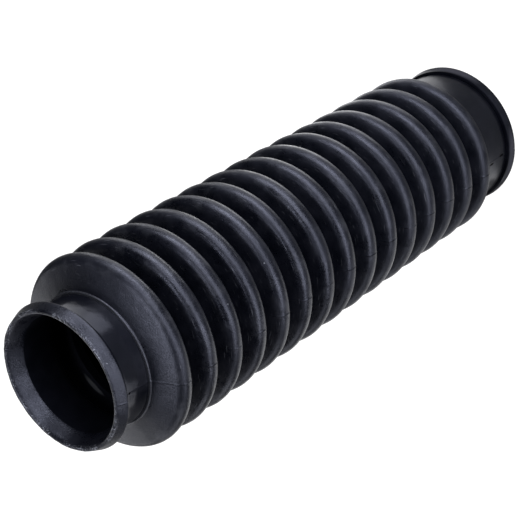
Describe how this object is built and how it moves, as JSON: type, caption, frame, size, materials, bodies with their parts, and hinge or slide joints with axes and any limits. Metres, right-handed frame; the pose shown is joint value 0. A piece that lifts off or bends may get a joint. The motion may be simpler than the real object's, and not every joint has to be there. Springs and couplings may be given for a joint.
{
  "type": "rubber bellows",
  "caption": "One-piece rubber bellows gaiter for a front fork: folded tube with a plain flanged cuff at one end and a narrower clamp cuff with a lead-in mouth at the other.",
  "frame": {"origin": "centre of the end face of the large cuff, on the axis", "axes": "+Z along the axis, from the large cuff up to the small cuff's mouth; +X and +Y are equal, as the part is turned about the axis"},
  "size_m": [0.068, 0.068, 0.2258],
  "materials": {
    "rubber": "satin moulded black rubber with dust and fine scuffs"
  },
  "bodies": {
    "root": {"bellows": "rubber"}
  },
  "joints": []
}
